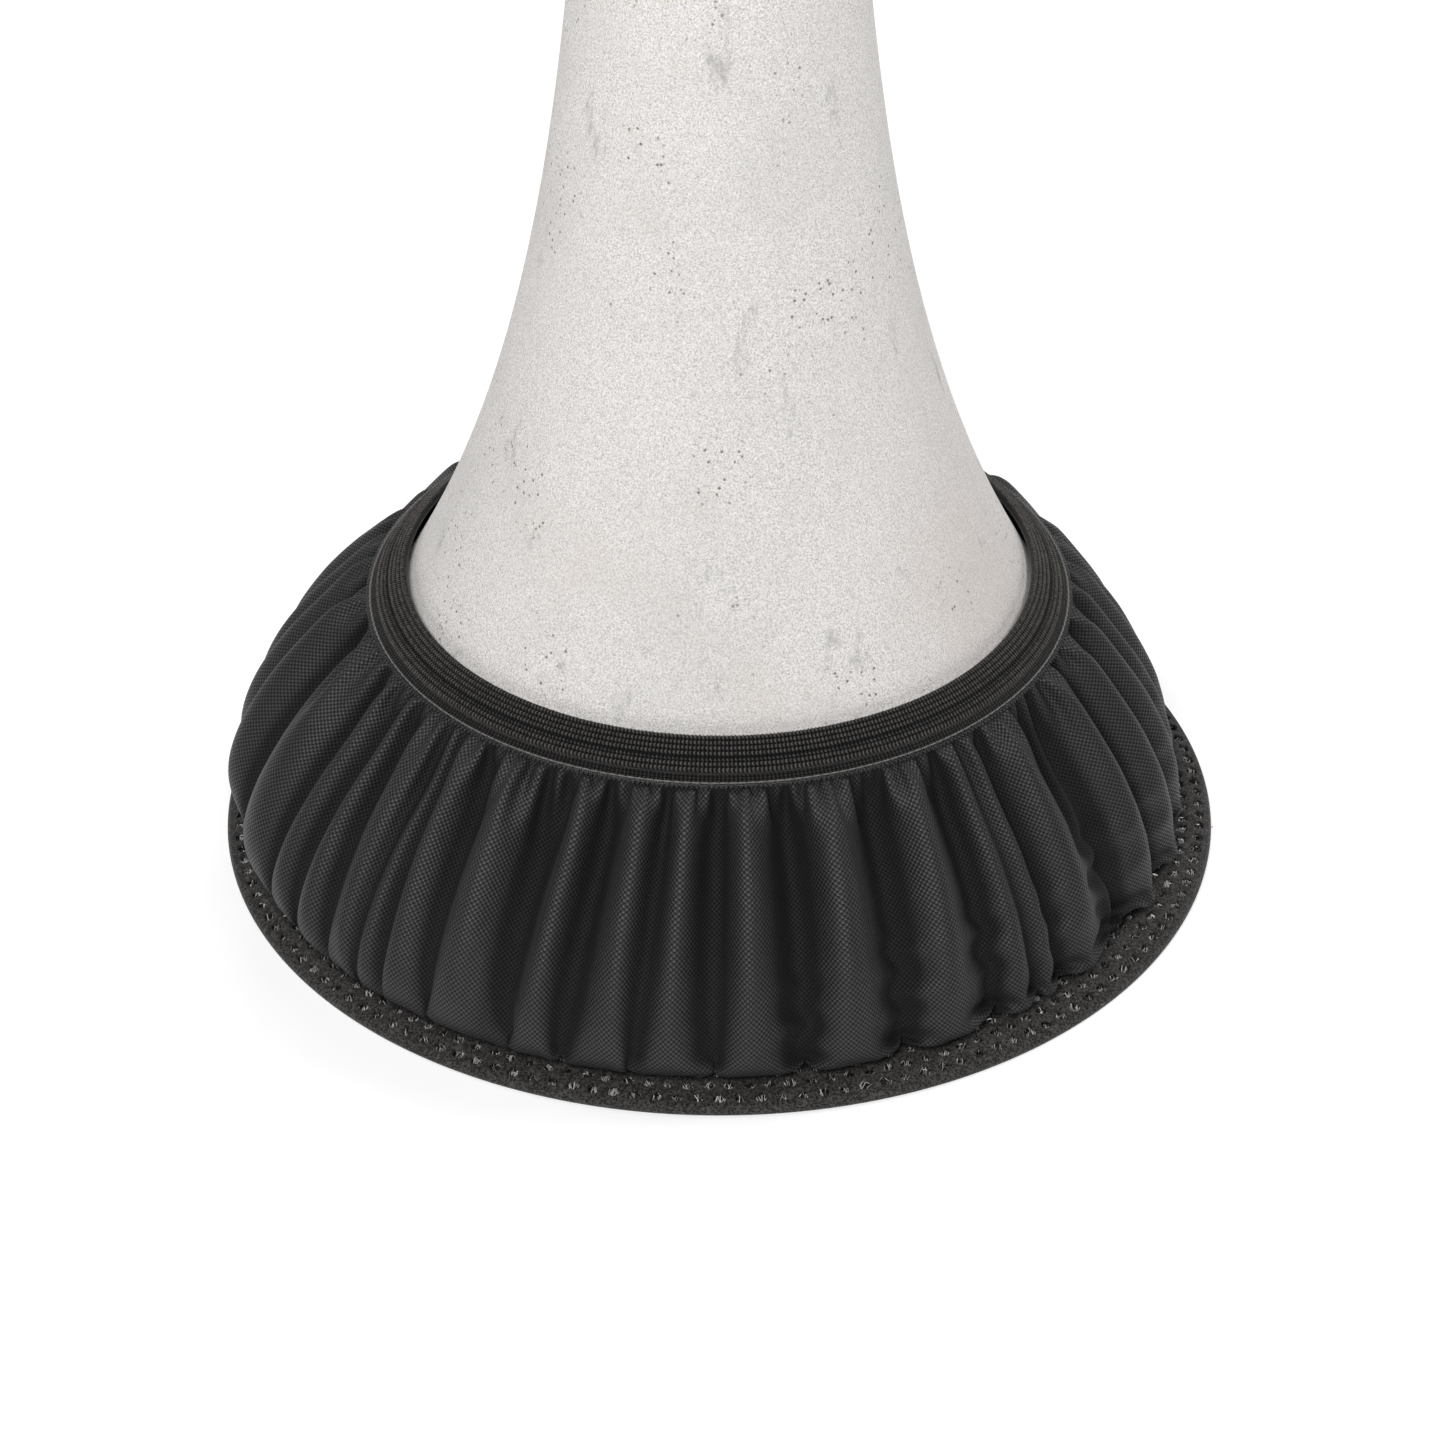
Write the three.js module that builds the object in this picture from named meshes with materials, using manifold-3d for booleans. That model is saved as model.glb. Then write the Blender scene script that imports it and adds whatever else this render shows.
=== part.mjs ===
// A flared tube with a slip-on skirt round its wide end: a knitted elastic band grips the tube,
// a gathered nylon panel hangs from the band, and a spacer-mesh rim lies flat round the foot.
// Millimetres, +Z up, origin on the tube's axis in the plane that the foot and the rim stand on.
import * as THREE from "three";
import { mergeVertices } from "three/addons/utils/BufferGeometryUtils.js";
import Module from "manifold-3d";

const wasm = await Module();
wasm.setup();

// Driving dimensions.
const TUBE_HEIGHT = 300;
const TUBE_WALL = 8;
const NECK_RADIUS = 26.5; // radius that the flare would settle to far above the mouth
const FLARE_GAIN = 123; // flare radius above the neck radius, extrapolated to the foot plane
const FLARE_LENGTH = 107; // height over which the flare shrinks by e
const FLARE_LOW_Z = 72; // below this height the flare turns down into the foot
const FOOT_RADIUS = 102;
const FOOT_STRAIGHT = 22;
const EDGE_ROUND = 2.5;

const BAND_TOP = { r: 85.7, z: 81.7 };
const BAND_LOW = { r: 93.6, z: 75.4 };
const BAND_THICKNESS = 1.6;
const LAP_LENGTH = 18; // where the ends of the elastic overlap at the back
const LAP_THICKNESS = 1.2;
const TACK_WIDTH = 8;
const TACK_TURNS = 6;
const TACK_MARGIN = 1; // from the tack to the band's edges
const GAP = 0.3; // clearance between neighbouring solids
const SLANT_GAP = 0.4; // the same between solids whose facing edges are not parallel

const HEADING_WIDTH = 2.2; // stitched heading between the band and the panel
const THREAD_RADIUS = 0.35;
const PANEL_THICKNESS = 1.2;
const PANEL_TOP_OUT = 1.6; // where the panel leaves the heading, out from it and down from it
const PANEL_TOP_DOWN = 2.2;
const PANEL_BULGE = [ // radius and height along the panel, from above its hem to below its top
  [131.5, 7.3],
  [134, 13],
  [131.5, 21],
  [126, 33],
  [117, 46.5],
  [107, 60],
];
const RIM_RADIUS = 140;
const RIM_INNER_RADIUS = 106;
const RIM_THICKNESS = 4;
const SEAM_RADIUS = 125; // circle where the panel's hem is sewn to the mesh
const HEM_WIDTH = 6;
const HEM_THICKNESS = 0.8;
const BINDING_WIDTH = 7;
const BINDING_THICKNESS = 0.6;
const ALLOWANCE_WIDTH = 9; // the folded allowance behind the panel's back seam
const ALLOWANCE_THICKNESS = 0.8;

const SEGMENTS = 60;
const THREAD_SIDES = 5;

const finish = (color, roughness) =>
  new THREE.MeshStandardMaterial({ color, roughness, metalness: 0 });
const foam = finish(0xd8d5d2, 0.9);
const knit = finish(0x242220, 0.85);
const nylon = finish(0x232325, 0.5);
const spacer = finish(0x1f1e1e, 0.8);
const paleThread = finish(0x5a5856, 0.6);
const blackThread = finish(0x1a1a1a, 0.7);

const point = (r, z) => new THREE.Vector2(r, z);

// The solid of a closed profile, listed anticlockwise in (radius, height), turned about Z.
function ring(profile, segments = SEGMENTS) {
  const closed = [...profile, profile[0]];
  return new THREE.LatheGeometry(closed, segments).rotateX(Math.PI / 2);
}

function toSolid(geometry) {
  const bare = geometry.clone();
  bare.deleteAttribute("normal");
  bare.deleteAttribute("uv");
  const merged = mergeVertices(bare);
  const vertProperties = merged.attributes.position.array;
  const triVerts = new Uint32Array(merged.index.array);
  return new wasm.Manifold(new wasm.Mesh({ numProp: 3, vertProperties, triVerts }));
}

function fromSolid(solid) {
  const { vertProperties, triVerts } = solid.getMesh();
  const geometry = new THREE.BufferGeometry();
  geometry.setAttribute("position", new THREE.BufferAttribute(vertProperties, 3));
  geometry.setIndex(new THREE.BufferAttribute(triVerts, 1));
  geometry.computeVertexNormals();
  return geometry;
}

// The part of a ring that lies at the back (+Y), within a strip of the given width about X = 0.
function backStrip(geometry, width) {
  const reach = 2 * RIM_RADIUS;
  const strip = new THREE.BoxGeometry(width, reach, reach).translate(0, reach / 2, 0);
  return fromSolid(toSolid(geometry).intersect(toSolid(strip)));
}

// Each point of a line of points, moved sideways by a distance. Positive is to the line's right.
function shifted(line, distance) {
  return line.map((here, i) => {
    const before = line[Math.max(i - 1, 0)];
    const after = line[Math.min(i + 1, line.length - 1)];
    const along = after.clone().sub(before).normalize();
    return point(here.x + along.y * distance, here.y - along.x * distance);
  });
}

// A closed profile for a sheet between two offsets of a line that runs upwards.
function sheetProfile(line, inner, outer) {
  return [...shifted(line, outer), ...shifted(line, inner).reverse()];
}

// Outer radius of the tube at a height on the flare.
const flareRadius = (z) => NECK_RADIUS + FLARE_GAIN * Math.exp(-z / FLARE_LENGTH);

// The tube's outer line from the foot plane up to the mouth.
function tubeLine(foot) {
  const low = point(flareRadius(FLARE_LOW_Z), FLARE_LOW_Z);
  const slope = (low.x - NECK_RADIUS) / FLARE_LENGTH; // radius gained per unit of height lost
  const corner = point(FOOT_RADIUS, FLARE_LOW_Z - (FOOT_RADIUS - low.x) / slope);
  const turn = new THREE.QuadraticBezierCurve(point(FOOT_RADIUS, FOOT_STRAIGHT), corner, low);
  const flareSteps = 9;
  const flare = Array.from({ length: flareSteps }, (_, i) => {
    const z = FLARE_LOW_Z + ((i + 1) / flareSteps) * (TUBE_HEIGHT - FLARE_LOW_Z);
    return point(flareRadius(z), z);
  });
  return [point(FOOT_RADIUS, foot), ...turn.getPoints(4), ...flare];
}

function makeTube() {
  const outer = tubeLine(EDGE_ROUND);
  const inner = shifted(tubeLine(0), -TUBE_WALL);
  const roundedZ = TUBE_HEIGHT - EDGE_ROUND;
  outer[outer.length - 1] = point(flareRadius(roundedZ), roundedZ);
  inner[inner.length - 1].y = TUBE_HEIGHT;
  inner[0].y = 0;
  return ring([
    point(FOOT_RADIUS - EDGE_ROUND, 0),
    ...outer,
    point(flareRadius(TUBE_HEIGHT) - EDGE_ROUND, TUBE_HEIGHT),
    ...inner.reverse(),
  ]);
}

// The band's centre line, from its lower edge to its top edge.
const bandLine = [point(BAND_LOW.r, BAND_LOW.z), point(BAND_TOP.r, BAND_TOP.z)];
const bandAlong = bandLine[1].clone().sub(bandLine[0]).normalize();
const onBand = (distance) => bandLine[0].clone().addScaledVector(bandAlong, distance);

function makeBand() {
  return ring(sheetProfile(bandLine, -BAND_THICKNESS / 2, BAND_THICKNESS / 2));
}

// The end of the elastic that lies over its beginning at the back.
function makeBandLap() {
  const low = BAND_THICKNESS / 2 + GAP;
  return backStrip(ring(sheetProfile(bandLine, low, low + LAP_THICKNESS)), LAP_LENGTH);
}

// A zigzag of thread that holds the lapped ends together, lying on the lap.
function makeBandTack() {
  const bandWidth = bandLine[0].distanceTo(bandLine[1]);
  const step = (bandWidth - 2 * TACK_MARGIN) / TACK_TURNS;
  const thread = 2 * THREAD_RADIUS;
  const legs = Array.from({ length: TACK_TURNS }, (_, i) => {
    const slant = Math.atan2(step, TACK_WIDTH) * (i % 2 ? -1 : 1);
    const leg = new THREE.BoxGeometry(Math.hypot(step, TACK_WIDTH) + thread, thread, thread);
    return toSolid(leg.rotateZ(slant).translate(0, (i + 0.5 - TACK_TURNS / 2) * step, 0));
  });
  const tack = fromSolid(legs.reduce((whole, leg) => whole.add(leg)));
  const tilt = Math.atan2(BAND_TOP.z - BAND_LOW.z, BAND_LOW.r - BAND_TOP.r);
  const lift = BAND_THICKNESS / 2 + GAP + LAP_THICKNESS + GAP + THREAD_RADIUS;
  const seat = onBand(bandWidth / 2).addScaledVector(point(bandAlong.y, -bandAlong.x), lift);
  return tack.rotateX(-tilt).translate(0, seat.x, seat.y);
}

// The strip of cover stitching below the band, where the gathers are caught.
const headingTop = onBand(-SLANT_GAP);
const headingLow = onBand(-SLANT_GAP - HEADING_WIDTH);

function makeHeading() {
  return ring(sheetProfile([headingLow, headingTop], -BAND_THICKNESS / 2, BAND_THICKNESS / 4));
}

// A thread laid in a circle.
function threadRing(radius, z) {
  const sides = Array.from({ length: THREAD_SIDES }, (_, i) => {
    const angle = (2 * Math.PI * i) / THREAD_SIDES;
    return point(radius + THREAD_RADIUS * Math.cos(angle), z + THREAD_RADIUS * Math.sin(angle));
  });
  return ring(sides);
}

// The panel's centre line, from its hem on the mesh, out over the bulge and up to the heading.
const hemTop = RIM_THICKNESS + GAP + HEM_THICKNESS;
const panelLine = new THREE.SplineCurve([
  point(SEAM_RADIUS, hemTop + SLANT_GAP + PANEL_THICKNESS / 2),
  ...PANEL_BULGE.map(([r, z]) => point(r, z)),
  point(headingLow.x + PANEL_TOP_OUT, headingLow.y - PANEL_TOP_DOWN),
]).getPoints(10);

function makePanel() {
  return ring(sheetProfile(panelLine, -PANEL_THICKNESS / 2, PANEL_THICKNESS / 2));
}

// The folded allowance behind the seam that closes the panel at the back.
function makeSeamAllowance() {
  const front = -PANEL_THICKNESS / 2 - GAP;
  const line = panelLine.slice(2, -1);
  const behind = front - ALLOWANCE_THICKNESS;
  return backStrip(ring(sheetProfile(line, behind, front)), ALLOWANCE_WIDTH);
}

// The row of stitches down the outside of the back seam.
function makeSeamStitch() {
  const back = PANEL_THICKNESS / 2 + GAP;
  const line = panelLine.slice(2, -1);
  return backStrip(ring(sheetProfile(line, back, back + THREAD_RADIUS)), 2 * THREAD_RADIUS);
}

// The panel's lower edge, turned under and lying on the mesh.
function makeHem() {
  const low = RIM_THICKNESS + GAP;
  return ring([
    point(SEAM_RADIUS - HEM_WIDTH, low),
    point(SEAM_RADIUS, low),
    point(SEAM_RADIUS, low + HEM_THICKNESS),
    point(SEAM_RADIUS - HEM_WIDTH, low + HEM_THICKNESS),
  ]);
}

// The spacer-mesh rim, with its outer edge rounded over half its thickness.
function makeRim() {
  const half = RIM_THICKNESS / 2;
  const steps = 5;
  const arc = Array.from({ length: steps + 1 }, (_, i) => {
    const angle = -Math.PI / 2 + (Math.PI * i) / steps;
    return point(RIM_RADIUS - half + half * Math.cos(angle), half + half * Math.sin(angle));
  });
  return ring([point(RIM_INNER_RADIUS, 0), ...arc, point(RIM_INNER_RADIUS, RIM_THICKNESS)]);
}

// The tape on top of the rim's inner edge, which keeps the cut mesh from fraying.
function makeBinding() {
  const low = RIM_THICKNESS + GAP;
  return ring([
    point(RIM_INNER_RADIUS, low),
    point(RIM_INNER_RADIUS + BINDING_WIDTH, low),
    point(RIM_INNER_RADIUS + BINDING_WIDTH, low + BINDING_THICKNESS),
    point(RIM_INNER_RADIUS, low + BINDING_THICKNESS),
  ]);
}

function add(group, name, geometry, material) {
  const mesh = new THREE.Mesh(geometry, material);
  mesh.name = name;
  group.add(mesh);
}

const tube = new THREE.Group();
add(tube, "flared_tube", makeTube(), foam);

const skirt = new THREE.Group();
const threadLift = BAND_THICKNESS / 4 + GAP + THREAD_RADIUS;
add(skirt, "elastic_band", makeBand(), knit);
add(skirt, "band_lap", makeBandLap(), knit);
add(skirt, "band_tack_stitch", makeBandTack(), blackThread);
add(skirt, "gathered_heading", makeHeading(), nylon);
add(
  skirt,
  "gathering_thread",
  threadRing(headingLow.x + threadLift * bandAlong.y, headingLow.y - threadLift * bandAlong.x),
  paleThread,
);
add(
  skirt,
  "heading_thread",
  threadRing(headingTop.x + threadLift * bandAlong.y, headingTop.y - threadLift * bandAlong.x),
  blackThread,
);
add(skirt, "skirt_panel", makePanel(), nylon);
add(skirt, "back_seam_allowance", makeSeamAllowance(), nylon);
add(skirt, "back_seam_stitch", makeSeamStitch(), blackThread);
add(skirt, "skirt_hem", makeHem(), nylon);
add(
  skirt,
  "hem_thread",
  threadRing(SEAM_RADIUS + THREAD_RADIUS + SLANT_GAP, RIM_THICKNESS + GAP + THREAD_RADIUS),
  blackThread,
);
add(skirt, "mesh_rim", makeRim(), spacer);
add(skirt, "mesh_binding", makeBinding(), nylon);

const assembly = new THREE.Group();
assembly.add(tube, skirt);

export default assembly;
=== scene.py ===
# The looks of a hollow foam tube with a slip-on skirt: knitted elastic band, gathered nylon panel,
# spacer-mesh rim. Lengths are in millimetres until a mesh is made. Angles start at the back (+Y),
# where the fabric is sewn shut, and grow clockwise as seen from above.
import math

import bmesh
import bpy
import numpy as np
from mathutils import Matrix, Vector


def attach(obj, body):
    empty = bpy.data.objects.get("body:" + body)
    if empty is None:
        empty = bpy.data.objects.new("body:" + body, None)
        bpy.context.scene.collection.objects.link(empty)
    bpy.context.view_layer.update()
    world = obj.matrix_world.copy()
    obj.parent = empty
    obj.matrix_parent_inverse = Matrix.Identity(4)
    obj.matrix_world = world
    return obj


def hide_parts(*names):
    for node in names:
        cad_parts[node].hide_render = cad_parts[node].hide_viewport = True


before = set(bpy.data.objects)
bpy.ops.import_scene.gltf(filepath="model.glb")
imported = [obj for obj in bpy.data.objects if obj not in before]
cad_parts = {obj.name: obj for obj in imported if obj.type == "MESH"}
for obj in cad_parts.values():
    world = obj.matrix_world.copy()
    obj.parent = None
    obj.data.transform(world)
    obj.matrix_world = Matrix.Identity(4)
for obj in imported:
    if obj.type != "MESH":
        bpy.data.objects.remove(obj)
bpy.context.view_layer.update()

rng = np.random.default_rng(11)
METRES = 0.001  # in a millimetre

# Driving dimensions, the same as the CAD part's.
TUBE_HEIGHT = 300
TUBE_WALL = 8
NECK_RADIUS = 26.5
FLARE_GAIN = 123
FLARE_LENGTH = 107
FLARE_LOW_Z = 72
FOOT_RADIUS = 102
FOOT_STRAIGHT = 22
EDGE_ROUND = 2.5
BAND_TOP = (85.7, 81.7)  # radius and height of the elastic's top edge
BAND_LOW = (93.6, 75.4)
BAND_THICKNESS = 1.6
FIBRE_HEIGHT = 0.05  # unevenness of the knit's yarns
KNIT_COLUMNS = 5  # points of the mesh round each stitch of the knit
KNIT_ROWS = 7  # and up each course
STITCH_POINTS = 8  # points along each sewn stitch
HEADING_WIDTH = 2.2
RIM_RADIUS = 140
RIM_INNER_RADIUS = 106
RIM_THICKNESS = 4
SEAM_RADIUS = 125
LAP_LENGTH = 18
LAP_THICKNESS = 1.2
TACK_WIDTH = 8
HEM_WIDTH = 6
BINDING_WIDTH = 7
SEAM_ALLOWANCE = 4.5
BACK_SEAM_STITCHES = 30

# The panel as cut, and its cloth.
PANEL_WIDTH = 1010  # flat length round the skirt, before gathering
PANEL_LENGTH = 87  # from the heading to the hem
PANEL_UNEVEN = 5.5  # the skirt hangs this much fuller at the left, and slimmer at the right
PANEL_LINE = [  # radius and height down the panel, before it settles, without its folds
    (95.7, 73), (100, 69), (106.5, 60.3), (117.8, 46.9), (126.4, 33.3), (131.4, 21.2), (133.4, 12.5),
    (133.2, 8), (131.2, 6.2), (124.6, 5),
]
COLUMNS = 720  # points of the cloth round the skirt
ROWS = 56  # and down it
PANEL_TOP = (95.7, 73.0)  # radius and height where the cloth leaves the heading
PANEL_HEM = (124.6, 4.9)
TOP_DIRECTION = (0.95, -0.31)  # the way the cloth leaves the heading, out and down
HEM_DIRECTION = (0.99, 0.14)  # the way the cloth would run on under the hem, reversed
TUCKS = 42  # places where the hem's fullness is pinched, with a long fold from each to the next
FOLD_DEPTH = 1.75  # of the long folds: the larger it is, the deeper they are pressed in
SHORT_FOLDS = 66  # folds that fade out before the hem
SHORT_FOLD_DEPTH = 1.2
SHORT_FOLD_END = 0.62  # share of the way down where they have faded out
PUCKERS = 140  # small gathers below the heading
PUCKER_DEPTH = 2.1
PUCKER_FADE = 0.1  # share of the way down over which they die away
VALLEY_SHADE_DEPTH = 1.9  # depth between the folds over which painted shade darkens the cloth
HOLD = 8e-3  # newtons per millimetre that keep each point near the folds pressed into the cloth
STRETCH = 1.0  # newtons per millimetre
SHEAR = 0.12
BEND = 0.035  # newton millimetres
WEIGHT = 2.2e-6  # newtons per square millimetre
INERTIA = 2e-4
COAST = 0.92  # share of its speed that the cloth keeps from one step to the next
YARN_PITCH = 0.7  # of the cloth's plain weave

# The spacer mesh's holes.
MESH_COUNT = 156  # holes in each row
MESH_ROWS = 6
MESH_ROW_PITCH = 4.7
MESH_OUTER_ROW = 136.4
MESH_INNER_EDGE = MESH_OUTER_ROW - (MESH_ROWS - 0.4) * MESH_ROW_PITCH
MESH_NET_EDGE = 138.3  # where the net is joined to the rim's outer edge
MESH_THIN_FROM = 133  # radius where the rim starts to thin towards its outer edge
MESH_THINNED = 0.4  # share of the thickness that is lost at the edge
MESH_TOP_RINGS = [  # from a cell's border into its hole: share of the way, hole radius, height
    (0, 0, 4.0), (0.55, 1.65, 4.03), (0.86, 1.65, 3.86), (1, 1.55, 3.45), (1, 1.65, 2.9),
]
MESH_BOTTOM_RINGS = [(0, 0, 0.25), (0.8, 1.5, 0.3), (1, 1.2, 0.6)]
HOLE_UNEVEN = 0.12  # share by which the holes' sizes vary
HOLE_DRIFT = 0.12  # how far holes stray from their places, as a standard deviation
FILAMENTS_PER_HOLE = 17
FILAMENT_RADIUS = 0.12
FILAMENT_LEAN = 0.9  # sideways, from foot to top, as a standard deviation
FILAMENT_BOW = 0.35  # sideways at the middle, likewise

STAIN_PLACE = (0.072, -0.035, 0.098)  # of the warm stain on the foam, in metres

SETTLE_STEPS = 50
SOLVES_PER_STEP = 6

# The view and the light: metres, watts, and places in the part's own frame.
CAMERA_LENS = 99.65  # millimetres, on a sensor 36 mm wide
CAMERA_DISTANCE = 1.130
CAMERA_ELEVATION = 34.37  # degrees above the table
CAMERA_TARGET = (0.0009, 0, 0.0274)
WORLD_STRENGTH = 0.03
FLOOR_GLOW = 0.46  # the floor's own light, which keeps it near white away from the lamps
LIGHTS = [  # name, place, target, size, power
    ("key", (-0.2, -1.2, 1.2), (0, 0, 0.05), 0.7, 21.5),
    ("left", (-1.3, 0.5, 1.2), (0, 0, 0.08), 0.7, 8),
    ("right", (1.3, 0.5, 1.2), (0, 0, 0.08), 0.7, 14),
    ("back", (0.0, 1.3, 1.0), (0, 0, 0.08), 0.8, 6),
]


# ---------------------------------------------------------------- mesh helpers


def polar(radius, angle, height):
    """Points at these radii, angles and heights."""
    radius, angle, height = np.broadcast_arrays(radius, angle, height)
    return np.stack([radius * np.sin(angle), radius * np.cos(angle), height], -1)


def turn(count):
    """Angles of a full turn in equal steps."""
    return 2 * math.pi * np.arange(count) / count


def make_mesh(name, points, faces, uv=None):
    """A mesh from points in millimetres, with faces of 4 corners and one UV pair per face corner."""
    mesh = bpy.data.meshes.new(name)
    points = np.asarray(points, float).reshape(-1, 3) * METRES
    faces = np.asarray(faces, int)
    mesh.vertices.add(len(points))
    mesh.vertices.foreach_set("co", points.ravel())
    mesh.loops.add(faces.size)
    mesh.loops.foreach_set("vertex_index", faces.ravel())
    mesh.polygons.add(len(faces))
    mesh.polygons.foreach_set("loop_start", np.arange(len(faces)) * faces.shape[1])
    mesh.polygons.foreach_set("use_smooth", np.full(len(faces), True))
    if uv is not None:
        layer = mesh.uv_layers.new(name="UVMap")
        layer.data.foreach_set("uv", np.asarray(uv, float).ravel())
    mesh.update(calc_edges=True)
    mesh.validate()
    piece = bpy.data.objects.new(name, mesh)
    bpy.context.scene.collection.objects.link(piece)
    return piece


def grid_faces(rows, columns, closed):
    """Corner indices of a grid's faces, and the (row, column) of each corner with no wrap."""
    i, j = np.meshgrid(np.arange(rows - 1), np.arange(columns if closed else columns - 1), indexing="ij")
    i, j = i.ravel(), j.ravel()
    row = np.stack([i, i + 1, i + 1, i], 1)
    column = np.stack([j, j, j + 1, j + 1], 1)
    return row * columns + column % columns, row, column


def make_grid(name, points, width, length, closed=True):
    """A sheet from a grid of points (rows, columns), with a UV map in metres of flat cloth."""
    rows, columns = points.shape[:2]
    faces, row, column = grid_faces(rows, columns, closed)
    u = column * width / (columns if closed else columns - 1)
    v = row * length / (rows - 1)
    return make_mesh(name, points, faces, np.stack([u, v], -1) * METRES)


# ---------------------------------------------------------------- the gathered panel


def uneven(count, jitter):
    """Places round the turn, as shares of it, with uneven spacing."""
    gaps = 1 + jitter * rng.uniform(-1, 1, count)
    edges = np.concatenate([[0], np.cumsum(gaps)])
    return edges[:-1] / edges[-1]


def cell_share(places, share):
    """Which cell between uneven places each share of the turn is in, and how far along it."""
    edges = np.concatenate([places, [1 + places[0]]])
    share = (share - places[0]) % 1 + places[0]
    cell = np.clip(np.searchsorted(edges, share, side="right") - 1, 0, len(places) - 1)
    return cell, (share - edges[cell]) / (edges[cell + 1] - edges[cell])


def pinched_angles(places, width):
    """Column angles at the hem: evenly spread, but crowded together at the tucks."""
    share = np.arange(COLUMNS) / COLUMNS
    spread = np.ones(COLUMNS)
    for place in places:
        away = np.abs((share - place + 0.5) % 1 - 0.5) * COLUMNS
        spread -= np.exp(-((away / width) ** 2))
    spread = np.clip(spread, 0.4, None)
    return (np.cumsum(spread) - spread) / spread.sum() * 2 * math.pi


def panel_outline(t):
    """Radius and height at each share t of the way down the panel, and the outward normals there."""
    knots = np.array(PANEL_LINE, float)
    along = np.concatenate([[0], np.cumsum(np.linalg.norm(np.diff(knots, axis=0), axis=1))])
    line = np.stack([np.interp(t, along / along[-1], knots[:, k]) for k in (0, 1)], 1)
    slope = np.gradient(line, axis=0)
    out = np.stack([-slope[:, 1], slope[:, 0]], 1) / np.linalg.norm(slope, axis=1)[:, None]
    return line, out


def long_folds(t, share, tucks, drift, radius):
    """Folds from heading to hem, one between each tuck and the next. Each leans to one side and
    has its own width, depth and sharpness."""
    cells = [cell_share(tucks + (1 - down) * drift, share) for down in t]
    fold, within = np.moveaxis(cells, 1, 0)
    fold = fold.astype(int)
    within = within ** np.exp(rng.uniform(-0.5, 0.5, TUCKS))[fold]
    fullness = np.clip(PANEL_WIDTH / (2 * math.pi * radius), 1, None) - 1
    depth = FOLD_DEPTH * (1 - 0.5 * t**2) * np.sqrt(np.sin(math.pi * t))
    depth *= radius / TUCKS * np.sqrt(4 * fullness)
    flute = 2 * np.sin(math.pi * within) ** rng.uniform(1.1, 2.0, TUCKS)[fold] - 1.15
    wide = np.clip(TUCKS * np.diff(tucks, append=1), 0.6, 1.25)
    return depth[:, None] * flute * (wide * rng.uniform(0.7, 1.3, TUCKS))[fold]


def short_folds(t, share):
    """Smaller folds, deepest a third of the way down, that fade out before the hem."""
    fold, within = cell_share(uneven(SHORT_FOLDS, 0.5), share)
    fade = SHORT_FOLD_DEPTH * np.sin(math.pi * np.clip(t / SHORT_FOLD_END, 0, 1)) ** 1.2
    flute = 2 * np.abs(np.sin(math.pi * within)) ** 0.8 - 1.2
    return fade[:, None] * flute * rng.uniform(0, 1.3, SHORT_FOLDS)[fold]


def small_gathers(t, share, puckers):
    """The puckers that the gathering thread draws up just below the heading."""
    pucker, within = cell_share(puckers, share)
    fade = PUCKER_DEPTH * np.exp(-t / PUCKER_FADE) * np.clip(t / 0.02, 0, 1)
    return fade[:, None] * (-np.cos(2 * math.pi * within) * rng.uniform(0.4, 1.4, PUCKERS)[pucker])


def panel_start():
    """The panel before it settles: a smooth bulge with seeded folds and puckers."""
    tucks = uneven(TUCKS, 0.5)
    drift = rng.uniform(-0.35, 0.35, TUCKS) / TUCKS
    puckers = uneven(PUCKERS, 0.5)
    hem_angles = pinched_angles(tucks, 1.5)
    top_angles = turn(COLUMNS)
    t = np.linspace(0, 1, ROWS)
    share = np.arange(COLUMNS) / COLUMNS
    line, out = panel_outline(t)
    push = long_folds(t, share, tucks, drift, line[:, 0])
    push += short_folds(t, share)
    push += small_gathers(t, share, puckers)
    angles = (1 - t)[:, None] * top_angles + t[:, None] * hem_angles
    slump = PANEL_UNEVEN * np.clip(t / 0.8, 0, 1) ** 1.3 * np.clip((1 - t) / 0.1, 0, 1)
    push -= slump[:, None] * np.sin(angles)
    points = polar(line[:, :1] + out[:, :1] * push, angles, line[:, 1:] + out[:, 1:] * push)
    points[0] = polar(PANEL_TOP[0], top_angles, PANEL_TOP[1])
    points[-1] = polar(PANEL_HEM[0], hem_angles, PANEL_HEM[1])
    return points, top_angles, hem_angles


def panel_system(du, dv):
    """For each frequency round the panel, the matrix of cloth forces between its rows.
    The first and last of its rows + 2 rows are fixed ones beyond the edges, which aim the cloth."""
    angle = 2 * math.pi * np.arange(COLUMNS // 2 + 1) / COLUMNS
    around = 2 - 2 * np.cos(angle)
    size = ROWS + 2
    system = np.zeros((len(angle), size, size))
    rows = np.arange(1, ROWS + 1)
    down = STRETCH * du / dv
    system[:, rows, rows] += (STRETCH * dv / du * around + INERTIA + HOLD)[:, None]
    for i in rows[:-1]:
        system[:, i, i] += down + 2 * SHEAR
        system[:, i + 1, i + 1] += down + 2 * SHEAR
        system[:, i, i + 1] -= down + 2 * SHEAR * np.cos(angle)
        system[:, i + 1, i] -= down + 2 * SHEAR * np.cos(angle)
    curl = np.zeros((len(angle), ROWS, size))
    row = np.arange(ROWS)
    curl[:, row, row] = 1 / dv**2
    curl[:, row, row + 2] = 1 / dv**2
    curl[:, row, row + 1] = -2 / dv**2 - around[:, None] / du**2
    return system + BEND * du * dv * np.einsum("kia,kib->kab", curl, curl)


def spring(step, length, strength):
    """The pull of a thread that wants this length, along each step."""
    return step * (strength * length / np.linalg.norm(step, axis=-1, keepdims=True))


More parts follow.
